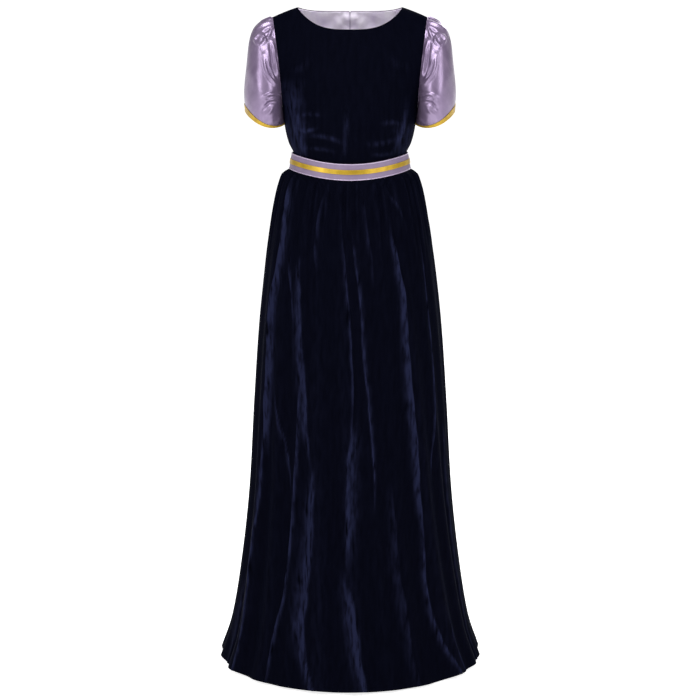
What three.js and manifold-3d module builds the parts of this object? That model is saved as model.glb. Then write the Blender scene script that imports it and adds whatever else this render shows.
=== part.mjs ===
// A floor-length two-piece dress, worn open and hollow: a sleeveless-cut velvet top with satin puff sleeves,
// tucked into a long gathered velvet skirt on a satin waistband with a gold ribbon stripe.
// Units are millimetres. +Z is up, +X is the wearer's left, and the front faces -Y.
// The origin lies between the shoulder seams, where the wearer holds the dress up.
import * as THREE from "three";
import { mergeVertices } from "three/addons/utils/BufferGeometryUtils.js";
import Module from "manifold-3d";

// ---- Driving sizes ----
const SEAM_GAP = 0.3; // between the cut edges of neighbouring pieces
const VELVET = 1.6; // cloth thicknesses
const SATIN = 1.0;
const BAND_CLOTH = 1.6;
const RIBBON = 0.8;
const TAPE = 0.8;
const LINING = 1.0;

// Levels are measured down from the shoulder line. At the waist they sink towards the centre front.
const UNDERARM_LEVEL = 200;
const BAND_TOP = 301;
const BAND_BOTTOM = 336;
const WAIST_SEAM = 336.1;
const TOP_HEM_LEVEL = 376; // the tucked hem of the top
const HEM_LEVEL = 1439;
const WAIST_DIP = 15; // how much lower the waistband lies at the centre front
const DIP_SHARPNESS = 2.5;
const DIP_GONE_LEVEL = 720; // where the skirt's rings are level again

const SHOULDER_TIP = { x: 166.4, y: 2, z: -9 };
const FRONT_ARMHOLE = { x: 151.5, y: -50, z: -118 };
const UNDERARM = { x: 147, y: 0, z: -UNDERARM_LEVEL };
const BACK_ARMHOLE = { x: 153, y: 47, z: -116 };

// The shoulder line rises to this height over the centre, above the cut-out neck.
const SHOULDER_CROWN = 30;
const NECK_POINT_X = 113.4;
const NECK_POINT_Z = 12;
const FRONT_BODY = { side: -1, depth: 119, roundness: 1.5, neckDrop: 32.5, neckPower: 3.2 };
const BACK_BODY = { side: 1, depth: 110, roundness: 1.9, neckDrop: -2, neckPower: 5 };

// The top's girth below the underarm: half width, and depth in front of and behind the side seams.
const TOP_GIRTH = [
  { level: 200, half: 147, front: 119, back: 110 },
  { level: 228, half: 144.2, front: 120, back: 109 },
  { level: 256, half: 140, front: 116.8, back: 105 },
  { level: 280, half: 133.5, front: 111.5, back: 100.6 },
  { level: 291, half: 128.2, front: 107.6, back: 97.8 },
  { level: 301, half: 123.8, front: 103.6, back: 94.8 },
  { level: 376, half: 123.8, front: 103.6, back: 94.8 },
];

const BAND_GIRTH = [
  { level: 301, half: 127.0, front: 106.4, back: 99.4 },
  { level: 336, half: 132.8, front: 111.4, back: 105.4 },
];

const SKIRT_GIRTH = [
  { level: 336.2, half: 132.4, front: 111, back: 105 },
  { level: 346, half: 144.5, front: 118.5, back: 113.5 },
  { level: 362, half: 152, front: 124.5, back: 121.5 },
  { level: 395, half: 161.5, front: 132, back: 131.5 },
  { level: 450, half: 173.0, front: 143.5, back: 147 },
  { level: 540, half: 187.5, front: 157.5, back: 164 },
  { level: 680, half: 203.5, front: 176, back: 184.5 },
  { level: 860, half: 217, front: 193.5, back: 204 },
  { level: 1060, half: 230, front: 210.5, back: 222 },
  { level: 1230, half: 250, front: 231.5, back: 243.5 },
  { level: 1365, half: 273.5, front: 255.5, back: 267.5 },
  { level: 1439, half: 298.5, front: 284, back: 291 },
];

// The skirt's hanging folds: where each ridge leaves the waist and where it meets the hem (degrees from the
// centre front, towards the wearer's left), its half width in degrees and its height at the hem.
const SKIRT_FOLDS = [
  { waist: -79, hem: -82, width: 6.5, height: 11 },
  { waist: -63, hem: -61, width: 7, height: 22 },
  { waist: -50, hem: -43, width: 6, height: 19 },
  { waist: -36, hem: -29, width: 5.5, height: 15 },
  { waist: -24, hem: -14, width: 6.5, height: 24 },
  { waist: -8, hem: 3, width: 6.5, height: 24 },
  { waist: 4, hem: 18, width: 5.5, height: 15 },
  { waist: 20, hem: 33, width: 6, height: 14 },
  { waist: 34, hem: 54, width: 7, height: 23 },
  { waist: 49, hem: 69, width: 6, height: 17 },
  { waist: 66, hem: 83, width: 6.5, height: 12 },
  { waist: 88, hem: 99, width: 7, height: 14 },
  { waist: 108, hem: 114, width: 6, height: 16 },
  { waist: 124, hem: 131, width: 7.5, height: 24 },
  { waist: 143, hem: 147, width: 6, height: 17 },
  { waist: 161, hem: 164, width: 7, height: 22 },
  { waist: 184, hem: 182, width: 6, height: 15 },
  { waist: 201, hem: 198, width: 7, height: 23 },
  { waist: 219, hem: 215, width: 6, height: 16 },
  { waist: 236, hem: 232, width: 7.5, height: 24 },
  { waist: 253, hem: 248, width: 6, height: 17 },
  { waist: 268, hem: 263, width: 6, height: 12 },
];
const FOLDS_START_LEVEL = 380;
const FOLDS_FULL_LEVEL = 1300;
const GATHERS = 36; // small gathers all round, just under the waistband
const GATHER_HEIGHT = 2.6;
const GATHERS_END_LEVEL = 600;

// The puff sleeve is drawn round four guide lines, each running from the armhole (0) to the hem (1).
const SLEEVE_GUIDES = {
  outer: [
    { along: 0, x: 166.4, y: 2, z: -9 },
    { along: 0.08, x: 176, y: 2, z: -12 },
    { along: 0.2, x: 192, y: 2, z: -18.5 },
    { along: 0.34, x: 208, y: 2, z: -33 },
    { along: 0.5, x: 218, y: 2, z: -61 },
    { along: 0.68, x: 224, y: 2, z: -109 },
    { along: 0.86, x: 230, y: 1, z: -168 },
    { along: 1, x: 227.5, y: 0, z: -211 },
  ],
  front: [
    { along: 0, x: 151.5, y: -50, z: -118 },
    { along: 0.08, x: 156, y: -57, z: -121 },
    { along: 0.2, x: 162, y: -66, z: -127 },
    { along: 0.34, x: 169, y: -73, z: -139 },
    { along: 0.5, x: 175, y: -78, z: -158 },
    { along: 0.68, x: 181, y: -79, z: -186 },
    { along: 0.86, x: 184, y: -75, z: -219 },
    { along: 1, x: 184, y: -67, z: -239 },
  ],
  under: [
    { along: 0, x: 147, y: 0, z: -200 },
    { along: 0.08, x: 147.4, y: 0, z: -201.5 },
    { along: 0.2, x: 147.6, y: 0, z: -204 },
    { along: 0.34, x: 147.6, y: 0, z: -208 },
    { along: 0.5, x: 147.5, y: 0, z: -214 },
    { along: 0.68, x: 147.2, y: 0, z: -222 },
    { along: 0.86, x: 146.5, y: 0, z: -232 },
    { along: 1, x: 145.8, y: 0, z: -239 },
  ],
  back: [
    { along: 0, x: 153, y: 47, z: -116 },
    { along: 0.08, x: 157, y: 54, z: -119 },
    { along: 0.2, x: 163, y: 64, z: -126 },
    { along: 0.34, x: 170, y: 72, z: -139 },
    { along: 0.5, x: 176, y: 77, z: -159 },
    { along: 0.68, x: 182, y: 78, z: -187 },
    { along: 0.86, x: 185, y: 74, z: -219 },
    { along: 1, x: 185, y: 66, z: -238 },
  ],
};
const SLEEVE_STAND_OFF = 0.35; // keeps the sleeve's seam clear of the armhole edge
const CAP_GATHERS = 12; // round the whole armhole, though only the cap shows them
const CAP_GATHER_HEIGHT = 3.2;
const CAP_GATHERS_END = 0.55;
const CUFF_RIBBON_START = 0.945; // the gold ribbon covers the last stretch of the sleeve
const BAND_RIBBON = { top: 313.5, bottom: 323.5 };

const BACKING_DEPTH = VELVET + 0.6; // how far inside the cloth's face the lining and the zip tapes start
const TAPE_HALF_WIDTH = 9;
const TAPE_COLUMN = 0.07; // the share of the back's half width that carries the tape
const SKIRT_TAPE_ANGLE = 2.5;
const ZIP_SLIDER_DROP = 7; // the slider's centre below the top edge
const PULL = { length: 22, neck: 2.4, bulb: 6.4, thick: 1 };

const COLOURS = { velvet: 0x0b0d24, satin: 0xa48fb6, gold: 0xd9ae2c, tape: 0x9c88ad, metal: 0xb9b6c2 };

// ---- Small helpers ----
const { lerp, clamp, smoothstep, degToRad } = THREE.MathUtils;
const steps = (from, to, count) => Array.from({ length: count + 1 }, (_, i) => lerp(from, to, i / count));

// A smooth curve through one column of a table, read along its key column.
function curve(rows, key, column) {
  const slope = (i) => {
    const before = rows[Math.max(i - 1, 0)];
    const after = rows[Math.min(i + 1, rows.length - 1)];
    return (after[column] - before[column]) / (after[key] - before[key]);
  };
  return (at) => {
    let i = 0;
    while (i < rows.length - 2 && at > rows[i + 1][key]) i += 1;
    const span = rows[i + 1][key] - rows[i][key];
    const t = (at - rows[i][key]) / span;
    const [a, b] = [rows[i][column], rows[i + 1][column]];
    const [slopeA, slopeB] = [slope(i) * span, slope(i + 1) * span];
    return a + t * (slopeA + t * (3 * (b - a) - 2 * slopeA - slopeB + t * (2 * (a - b) + slopeA + slopeB)));
  };
}

// A smooth closed loop through four points, at 0, 90, 180 and 270 degrees.
function around(outer, front, under, back, degrees) {
  const angle = degToRad(degrees);
  const value = (axis) =>
    (outer[axis] + front[axis] + under[axis] + back[axis]) / 4 +
    ((outer[axis] - under[axis]) / 2) * Math.cos(angle) +
    ((front[axis] - back[axis]) / 2) * Math.sin(angle) +
    ((outer[axis] + under[axis] - front[axis] - back[axis]) / 4) * Math.cos(2 * angle);
  return new THREE.Vector3(value("x"), value("y"), value("z"));
}

// A wall of cloth over surface(u, v). The u values run anticlockwise seen from above and the v values upwards,
// so that the cloth's face is outside. lift moves it off the surface, and relief(u, v) adds folds.
function cloth(surface, us, vs, { thickness, lift = 0, relief = () => 0, closed = false }) {
  const STEP = 1e-3;
  const across = Math.sign(us[1] - us[0]);
  const up = Math.sign(vs[1] - vs[0]);
  const outside = [];
  const inside = [];
  vs.forEach((v, row) =>
    us.forEach((u, column) => {
      const alongU = surface(u + STEP * across, v).sub(surface(u - STEP * across, v)).normalize();
      const alongV = surface(u, v + STEP * up).sub(surface(u, v - STEP * up)).normalize();
      const normal = new THREE.Vector3().crossVectors(alongU, alongV).normalize();
      const point = surface(u, v).addScaledVector(normal, lift + relief(u, v));
      if (!closed && column === 0) point.addScaledVector(alongU, SEAM_GAP / 2);
      if (!closed && column === us.length - 1) point.addScaledVector(alongU, -SEAM_GAP / 2);
      if (row === 0) point.addScaledVector(alongV, SEAM_GAP / 2);
      if (row === vs.length - 1) point.addScaledVector(alongV, -SEAM_GAP / 2);
      outside.push(...point.toArray());
      inside.push(...point.addScaledVector(normal, -thickness).toArray());
    }),
  );
  return wall(outside, inside, us.length, vs.length, closed);
}

// Joins an outside and an inside grid of points into one closed body.
function wall(outside, inside, columns, rows, closed) {
  const faces = [];
  const pointOf = (index) => new THREE.Vector3().fromArray(outside, 3 * (index % (rows * columns)));
  const quad = (a, b, c, d) => {
    const [shorter, longer] = [pointOf(a).distanceTo(pointOf(c)), pointOf(b).distanceTo(pointOf(d))];
    if (shorter <= longer + 1e-3) faces.push(a, b, c, a, c, d);
    else faces.push(b, c, d, b, d, a);
  };
  const at = (row, column) => row * columns + (column % columns);
  const under = (index) => index + rows * columns;
  const spans = closed ? columns : columns - 1;
  for (let row = 0; row < rows - 1; row += 1) {
    for (let column = 0; column < spans; column += 1) {
      const [a, b] = [at(row, column), at(row, column + 1)];
      const [d, c] = [at(row + 1, column), at(row + 1, column + 1)];
      quad(a, b, c, d);
      quad(under(a), under(d), under(c), under(b));
    }
  }
  for (let column = 0; column < spans; column += 1) {
    const [a, b] = [at(0, column), at(0, column + 1)];
    const [c, d] = [at(rows - 1, column), at(rows - 1, column + 1)];
    quad(under(a), under(b), b, a);
    quad(c, d, under(d), under(c));
  }
  for (let row = 0; !closed && row < rows - 1; row += 1) {
    const [a, b] = [at(row, 0), at(row + 1, 0)];
    const [c, d] = [at(row, columns - 1), at(row + 1, columns - 1)];
    quad(a, b, under(b), under(a));
    quad(under(c), under(d), d, c);
  }
  const geometry = new THREE.BufferGeometry();
  geometry.setAttribute("position", new THREE.Float32BufferAttribute([...outside, ...inside], 3));
  geometry.setIndex(faces);
  geometry.computeVertexNormals();
  return geometry;
}

const dress = new THREE.Group();

function add(name, geometry, colour, roughness, metalness = 0, parent = dress) {
  const material = new THREE.MeshStandardMaterial({ color: colour, roughness, metalness });
  const mesh = new THREE.Mesh(geometry, material);
  mesh.name = name;
  parent.add(mesh);
  return mesh;
}

const velvetPiece = (name, geometry) => add(name, geometry, COLOURS.velvet, 0.85);
const satinPiece = (name, geometry) => add(name, geometry, COLOURS.satin, 0.35);
const ribbonPiece = (name, geometry) => add(name, geometry, COLOURS.gold, 0.3);

// ---- The top ----
const girth = (rows) => ({
  half: curve(rows, "level", "half"),
  front: curve(rows, "level", "front"),
  back: curve(rows, "level", "back"),
});
const topGirth = girth(TOP_GIRTH);
const bandGirth = girth(BAND_GIRTH);
const skirtGirth = girth(SKIRT_GIRTH);

// A point of a girth ring, at an angle from the centre front towards the wearer's left.
function ringPoint(sizes, angle, level, dipShare) {
  const forward = Math.cos(angle);
  const depth = forward > 0 ? sizes.front(level) : sizes.back(level);
  const dip = WAIST_DIP * dipShare * Math.max(forward, 0) ** DIP_SHARPNESS;
  return new THREE.Vector3(sizes.half(level) * Math.sin(angle), -depth * forward, -level - dip);
}

const armhole = (degrees) => around(SHOULDER_TIP, FRONT_ARMHOLE, UNDERARM, BACK_ARMHOLE, degrees);

// The front or back of the top above the underarm. Across runs from -1 to 1 between the two armholes, and
// rise from 0 at the underarm to 1 on the ridge of the shoulder.
function yokePoint(body, across, rise) {
  const half = 180 * (1 - rise);
  const edge = armhole(body.side < 0 ? half : 360 - half);
  const height = (1 - Math.cos(Math.PI * rise)) / 2;
  const reach = body.depth * Math.sqrt(Math.max(1 - height ** body.roundness, 0)) * Math.sign(1 - rise);
  const centreY = body.side * reach + SHOULDER_TIP.y * height;
  const centreZ = lerp(-UNDERARM_LEVEL, SHOULDER_CROWN, height);
  const spread = spreadAcross(across, rise);
  const round = 1 - Math.sqrt(Math.max(1 - spread ** 2, 0)) * Math.sign(1 - Math.abs(across));
  const turned = lerp(round, spread ** 2, smoothstep(rise, 0.05, 0.6)); // from the centre (0) to the armhole (1)
  const settled = lerp(smoothstep(rise, 0, 0.4), 1, turned ** 4);
  const sideY = edge.y * turned * settled;
  return new THREE.Vector3(edge.x * spread, centreY * (1 - turned) + sideY, lerp(centreZ, edge.z, spread ** 2));
}

// How evenly the columns spread over the half width: as round a body at the underarm, evenly at the shoulder.
const spreadAcross = (across, rise) => lerp(Math.sin((Math.PI / 2) * across), across, smoothstep(rise, 0.25, 1));

// How far a column of the yoke rises before the neckline or the shoulder seam ends it.
function topOfColumn(body, across) {
  const aboveNeckline = (rise) => {
    const point = yokePoint(body, across, rise);
    const share = Math.abs(point.x) / NECK_POINT_X;
    return point.z > lerp(-body.neckDrop, NECK_POINT_Z, share ** body.neckPower);
  };
  if (Math.abs(yokePoint(body, across, 1).x) >= NECK_POINT_X - 1e-6) return 1;
  let [low, high] = [0, 1];
  for (let i = 0; i < 30; i += 1) {
    const middle = (low + high) / 2;
    if (aboveNeckline(middle)) high = middle;
    else low = middle;
  }
  return low;
}

// The whole front or back of the top. Up is -1 at the tucked hem, 0 at the underarm and 1 at the top edge.
function topPoint(body, across, up) {
  if (up >= 0) return yokePoint(body, across, up * topOfColumn(body, across));
  const level = lerp(UNDERARM_LEVEL, TOP_HEM_LEVEL, -up);
  const turn = (Math.PI / 2) * across;
  const angle = body.side < 0 ? turn : Math.PI - turn;
  return ringPoint(topGirth, angle, level, smoothstep(level, UNDERARM_LEVEL, BAND_TOP));
}

const upOfLevel = (level) => -(level - UNDERARM_LEVEL) / (TOP_HEM_LEVEL - UNDERARM_LEVEL);
const LOWER_LEVELS = [376, 301, 291, 280, 256, 228, 200];
const topRows = [...LOWER_LEVELS.map(upOfLevel), 0.18, 0.36, 0.53, 0.69, 0.85, 1];

const levelOfUp = (up) => lerp(UNDERARM_LEVEL, TOP_HEM_LEVEL, -up);

// The edge of the zip tape: how far across the back a line of constant width lies at the height of a row.
function tapeEdge(up) {
  const rise = up * topOfColumn(BACK_BODY, 0);
  const half = up >= 0 ? armhole(180 * (1 + rise)).x : topGirth.half(levelOfUp(up));
  return TAPE_HALF_WIDTH / (half * lerp(Math.PI / 2, 1, smoothstep(rise, 0.25, 1)));
}

const frontFace = (column, up) => topPoint(FRONT_BODY, column, up);

// The back's columns keep the tape's strip down the centre and share out the rest.
function backFace(column, up) {
  const away = Math.abs(column);
  const edge = tapeEdge(up);
  const onTape = (edge * away) / TAPE_COLUMN;
  const across = away < TAPE_COLUMN ? onTape : lerp(edge, 1, (away - TAPE_COLUMN) / (1 - TAPE_COLUMN));
  return topPoint(BACK_BODY, Math.sign(column) * across, up);
}

const frontNeckColumn = NECK_POINT_X / SHOULDER_TIP.x;
const backNeckColumn = lerp(TAPE_COLUMN, 1, (frontNeckColumn - tapeEdge(1)) / (1 - tapeEdge(1)));
const NECK_SHARES = [0.3, 0.57, 0.79, 0.94, 1]; // closer together towards the neck point
const frontHalf = [0, ...NECK_SHARES.map((share) => share * frontNeckColumn)];
const backHalf = [TAPE_COLUMN, ...NECK_SHARES.map((share) => lerp(TAPE_COLUMN, backNeckColumn, share))];
frontHalf.push(...steps(frontNeckColumn, 1, 4).slice(1));
backHalf.push(...steps(backNeckColumn, 1, 4).slice(1));
const mirrored = (columns) => [...columns].reverse().map((value) => -value);
const frontColumns = [...mirrored(frontHalf).slice(0, -1), ...frontHalf];

const panelCloth = { thickness: VELVET };
velvetPiece("top_front", cloth(frontFace, frontColumns, topRows, panelCloth));
velvetPiece("top_back_left", cloth(backFace, [0, ...backHalf].reverse(), topRows, panelCloth));
velvetPiece("top_back_right", cloth(backFace, [-0, ...backHalf.map((value) => -value)], topRows, panelCloth));

const liningCloth = { thickness: LINING, lift: -BACKING_DEPTH };
satinPiece("lining_front", cloth(frontFace, frontColumns, topRows, liningCloth));
satinPiece("lining_back_left", cloth(backFace, [...backHalf].reverse(), topRows, liningCloth));
satinPiece("lining_back_right", cloth(backFace, backHalf.map((value) => -value), topRows, liningCloth));

// ---- The sleeves ----
const guideCurves = Object.fromEntries(
  Object.entries(SLEEVE_GUIDES).map(([guide, rows]) => [
    guide,
    { x: curve(rows, "along", "x"), y: curve(rows, "along", "y"), z: curve(rows, "along", "z") },
  ]),
);

function sleevePoint(side, degrees, along) {
  const on = (guide) => ({
    x: guideCurves[guide].x(along) + SLEEVE_STAND_OFF,
    y: guideCurves[guide].y(along),
    z: guideCurves[guide].z(along),
  });
  const point = around(on("outer"), on("front"), on("under"), on("back"), degrees);
  point.x *= side;
  return point;
}

// Gathers fan out from the cap of the sleeve and die away down its length.
function capGathers(degrees, along) {
  const onCap = Math.max(Math.cos(degToRad(degrees)) + 0.35, 0) / 1.35;
  const fade = smoothstep(along, 0, 0.06) * (1 - smoothstep(along, 0.1, CAP_GATHERS_END));
  return CAP_GATHER_HEIGHT * onCap * fade * Math.cos(degToRad(CAP_GATHERS * degrees));
}

const SLEEVE_COLUMNS = 48;
const sleeveRows = [1, CUFF_RIBBON_START, 0.8, 0.65, 0.5, 0.36, 0.23, 0.12, 0];
[
  { name: "left", side: 1 },
  { name: "right", side: -1 },
].forEach(({ name, side }) => {
  const angles = steps(0, 360, SLEEVE_COLUMNS).slice(0, -1);
  const columns = side > 0 ? angles.map((angle) => 360 - angle) : angles;
  const surface = (degrees, along) => sleevePoint(side, degrees, along);
  const sleeve = { thickness: SATIN, relief: capGathers, closed: true };
  const ribbon = { thickness: RIBBON, lift: RIBBON + SEAM_GAP, closed: true };
  satinPiece(`sleeve_${name}`, cloth(surface, columns, sleeveRows, sleeve));
  ribbonPiece(`cuff_ribbon_${name}`, cloth(surface, columns, [1, CUFF_RIBBON_START], ribbon));
});

// ---- The waistband, with the ribbon stripe on it ----
const bandSurface = (degrees, level) => ringPoint(bandGirth, degToRad(degrees), level, 1);
const BAND_PANELS = [
  { name: "front", from: -90, to: 90, spans: 24 },
  { name: "back_left", from: 90, to: 180, spans: 12 },
  { name: "back_right", from: 180, to: 270, spans: 12 },
];
BAND_PANELS.forEach(({ name, from, to, spans }) => {
  const columns = steps(from, to, spans);
  const ribbon = { thickness: RIBBON, lift: RIBBON + SEAM_GAP };
  satinPiece(`waistband_${name}`, cloth(bandSurface, columns, [BAND_BOTTOM, BAND_TOP], { thickness: BAND_CLOTH }));
  ribbonPiece(`band_ribbon_${name}`, cloth(bandSurface, columns, [BAND_RIBBON.bottom, BAND_RIBBON.top], ribbon));
});

// ---- The skirt ----
const skirtSurface = (degrees, level) =>
  ringPoint(skirtGirth, degToRad(degrees), level, 1 - smoothstep(level, BAND_BOTTOM, DIP_GONE_LEVEL));

function skirtFolds(degrees, level) {
  const fall = clamp((level - BAND_BOTTOM) / (HEM_LEVEL - BAND_BOTTOM), 0, 1);
  const growth = smoothstep(level, FOLDS_START_LEVEL, FOLDS_FULL_LEVEL) * 0.72 + 0.28 * smoothstep(level, 350, 620);
  const folds = SKIRT_FOLDS.reduce((sum, fold) => {
    const centre = lerp(fold.waist, fold.hem, fall);
    const away = THREE.MathUtils.euclideanModulo(degrees - centre + 180, 360) - 180;
    const mean = (fold.width * Math.sqrt(Math.PI)) / 360;
    return sum + fold.height * (Math.exp(-((away / fold.width) ** 2)) - mean);
  }, 0);
  const gatherFade = smoothstep(level, BAND_BOTTOM, 352) * (1 - smoothstep(level, 360, GATHERS_END_LEVEL));
  const gathers = GATHER_HEIGHT * gatherFade * Math.cos(degToRad(GATHERS * degrees));
  return folds * growth + gathers;
}

const skirtRows = SKIRT_GIRTH.map((row) => row.level).reverse();
const skirtCloth = { thickness: VELVET, relief: skirtFolds };
[
  { name: "front", from: -90, to: 90, spans: 72 },
  { name: "back_left", from: 90, to: 180, spans: 36 },
  { name: "back_right", from: 180, to: 270, spans: 36 },
].forEach(({ name, from, to, spans }) =>
  velvetPiece(`skirt_${name}`, cloth(skirtSurface, steps(from, to, spans), skirtRows, skirtCloth)),
);

// ---- The two zips at the centre back ----
const kernel = await Module();
kernel.setup();

function solidOf(geometry) {
  const bare = geometry.clone();
  bare.deleteAttribute("normal");
  bare.deleteAttribute("uv");
  const merged = mergeVertices(bare);
  const vertProperties = merged.attributes.position.array;
  return new kernel.Manifold(
    new kernel.Mesh({ numProp: 3, vertProperties, triVerts: new Uint32Array(merged.index.array) }),
  );
}

function geometryOf(solid) {
  const mesh = solid.getMesh();
  const geometry = new THREE.BufferGeometry();
  geometry.setAttribute("position", new THREE.BufferAttribute(mesh.vertProperties, 3));
  geometry.setIndex(new THREE.BufferAttribute(mesh.triVerts, 1));
  geometry.computeVertexNormals();
  return geometry;
}

const block = (width, depth, height, x, y, z) => new THREE.BoxGeometry(width, depth, height).translate(x, y, z);
const rodAlongX = (radius, length, y, z, sides = 16) =>
  new THREE.CylinderGeometry(radius, radius, length, sides).rotateZ(Math.PI / 2).translate(0, y, z);

// The slider rides on the cloth's face: local +Y is off the cloth and +Z is up the seam.
const SLIDER = { width: 6, length: 9, bottom: 0.3, top: 1.9, lugX: 2.5, lugWidth: 0.8, axleY: 3.5 };
const AXLE_RADIUS = 0.5;
const EYE_RADIUS = 0.85;
const BARREL_RADIUS = 1.2;
const BARREL_LENGTH = 3.4;

function sliderGeometry() {
  const thickness = SLIDER.top - SLIDER.bottom;
  const plate = new THREE.Shape();
  plate.moveTo(-SLIDER.width / 2, SLIDER.length / 2);
  plate.lineTo(SLIDER.width / 2, SLIDER.length / 2);
  plate.lineTo(SLIDER.width / 2, -SLIDER.length / 4);
  plate.lineTo(SLIDER.width / 4, -SLIDER.length / 2);
  plate.lineTo(-SLIDER.width / 4, -SLIDER.length / 2);
  plate.lineTo(-SLIDER.width / 2, -SLIDER.length / 4);
  plate.closePath();
  const body = new THREE.ExtrudeGeometry(plate, { depth: thickness, bevelEnabled: false })
    .rotateX(Math.PI / 2)
    .translate(0, SLIDER.top, 0);
  const lugHeight = SLIDER.axleY + 1 - SLIDER.top + 0.4;
  const lug = (x) => block(SLIDER.lugWidth, lugHeight, 2.4, x, SLIDER.top - 0.4 + lugHeight / 2, 0);
  return geometryOf(
    solidOf(body)
      .add(solidOf(lug(SLIDER.lugX)))
      .add(solidOf(lug(-SLIDER.lugX)))
      .add(solidOf(rodAlongX(AXLE_RADIUS, 2 * SLIDER.lugX, SLIDER.axleY, 0))),
  );
}

// The pull tab: a flat drop that hangs from a barrel round the slider's axle. Its axle lies on the origin.
function pullGeometry() {
  const { length, neck, bulb, thick } = PULL;
  const outline = new THREE.Shape();
  outline.moveTo(-neck / 2, 0);
  outline.bezierCurveTo(-neck / 2, -length * 0.45, -bulb / 2, -length * 0.5, -bulb / 2, -length + bulb / 2);
  outline.absarc(0, -length + bulb / 2, bulb / 2, Math.PI, 2 * Math.PI, false);
  outline.bezierCurveTo(bulb / 2, -length * 0.5, neck / 2, -length * 0.45, neck / 2, 0);
  outline.closePath();
  const blade = new THREE.ExtrudeGeometry(outline, { depth: thick, bevelEnabled: false, curveSegments: 6 })
    .translate(0, 0, -thick / 2)
    .rotateX(Math.PI / 2);
  return geometryOf(
    solidOf(blade)
      .add(solidOf(rodAlongX(BARREL_RADIUS, BARREL_LENGTH, 0, 0)))
      .subtract(solidOf(rodAlongX(EYE_RADIUS, BARREL_LENGTH + 2, 0, 0))),
  );
}

// A zip: its tape lies behind strip(column, row), and its slider sits on the strip's face.
function addZip({ name, strip, columns, rows, relief, sliderAt }) {
  const tape = { thickness: TAPE, lift: -BACKING_DEPTH, relief };
  add(`${name}_zip_tape`, cloth(strip, columns, rows, tape), COLOURS.tape, 0.6);
  const [, centre] = columns;
  const seat = strip(centre, sliderAt);
  const upwards = strip(centre, sliderAt + Math.sign(rows[1] - rows[0]) * 1e-3).sub(seat);
  const slider = new THREE.Group();
  slider.position.copy(seat);
  slider.rotation.x = Math.atan2(-upwards.y, upwards.z);
  dress.add(slider);
  add(`${name}_zip_slider`, sliderGeometry(), COLOURS.metal, 0.3, 1, slider);
  const pull = add(`${name}_zip_pull`, pullGeometry(), COLOURS.metal, 0.3, 1, slider);
  pull.position.y = SLIDER.axleY;
}

addZip({
  name: "top",
  strip: backFace,
  columns: [TAPE_COLUMN, 0, -TAPE_COLUMN],
  rows: topRows,
  sliderAt: 0.955,
});
addZip({
  name: "skirt",
  strip: (degrees, level) => (level < WAIST_SEAM ? bandSurface(degrees, level) : skirtSurface(degrees, level)),
  columns: [180 - SKIRT_TAPE_ANGLE, 180, 180 + SKIRT_TAPE_ANGLE],
  rows: [540, 450, 395, 362, 346, 336.2, BAND_BOTTOM, BAND_TOP],
  relief: skirtFolds,
  sliderAt: BAND_TOP + ZIP_SLIDER_DROP,
});

export default dress;
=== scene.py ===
# %% [markdown]
# # A two-piece dress: velvet top and skirt, satin sleeves and waistband
# The dress is sewn from thin panels of cloth and hangs open and hollow. The frame gives the solids that
# carry it, and this lesson puts a finely folded sheet of cloth in the place of each one.

import math

import bpy
import numpy as np
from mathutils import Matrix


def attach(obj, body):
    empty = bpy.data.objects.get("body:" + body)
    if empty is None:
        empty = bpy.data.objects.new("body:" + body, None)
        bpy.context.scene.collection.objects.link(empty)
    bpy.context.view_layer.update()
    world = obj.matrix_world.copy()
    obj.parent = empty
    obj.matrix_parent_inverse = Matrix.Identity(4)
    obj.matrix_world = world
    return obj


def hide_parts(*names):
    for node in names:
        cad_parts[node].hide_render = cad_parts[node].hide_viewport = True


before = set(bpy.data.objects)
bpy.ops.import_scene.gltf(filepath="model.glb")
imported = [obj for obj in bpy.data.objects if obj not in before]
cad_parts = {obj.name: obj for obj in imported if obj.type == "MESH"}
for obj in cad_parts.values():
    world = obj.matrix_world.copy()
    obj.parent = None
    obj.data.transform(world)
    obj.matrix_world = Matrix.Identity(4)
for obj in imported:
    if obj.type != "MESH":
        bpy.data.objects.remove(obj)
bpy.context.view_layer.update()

# %% [markdown]
# ## The camera and the studio
# The camera stands a little above the shoulders and looks down at the middle of the dress. The floor is
# wide enough to fill the picture, and the light is soft and nearly even, as in a catalogue.

# %% Camera
CAMERA_PLACE = (0, -4.6, 0.162)
CAMERA_DOWN = 11.11
camera_data = bpy.data.cameras.new("camera")
camera_data.lens = 108.36
camera_data.sensor_width = 36
camera = bpy.data.objects.new("camera", camera_data)
camera.location = CAMERA_PLACE
camera.rotation_euler = (math.radians(90 - CAMERA_DOWN), 0, 0)
bpy.context.collection.objects.link(camera)
bpy.context.scene.camera = camera
bpy.context.scene.view_settings.view_transform = "Standard"
print("camera:", camera.name)


# %% Floor
def deselect():
    """Nothing stays selected, so that the next operator touches only what it makes."""
    bpy.ops.object.select_all(action="DESELECT")


def new_finish(name, **values):
    """A material with its Principled shader, whose plain values sit on the shader's own sockets."""
    material = bpy.data.materials.new(name)
    material.use_nodes = True
    shader = material.node_tree.nodes["Principled BSDF"]
    for socket, value in values.items():
        shader.inputs[socket.replace("_", " ")].default_value = value
    return material, material.node_tree, shader


FLOOR_LEVEL = -1.447
FLOOR_SIZE = 160
WHITE = (1, 1, 1, 1)
MIDDLE = np.array([0, 0, -0.65])

deselect()
bpy.ops.mesh.primitive_plane_add(size=FLOOR_SIZE, location=(0, 0, FLOOR_LEVEL))
floor = bpy.context.object
floor.name = "floor"
paper, _, _ = new_finish("paper", Base_Color=(0.93, 0.93, 0.93, 1), Roughness=1.0, Specular_IOR_Level=0.0,
                         Emission_Color=WHITE, Emission_Strength=0.8)
floor.data.materials.append(paper)
print("floor at", FLOOR_LEVEL)

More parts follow.
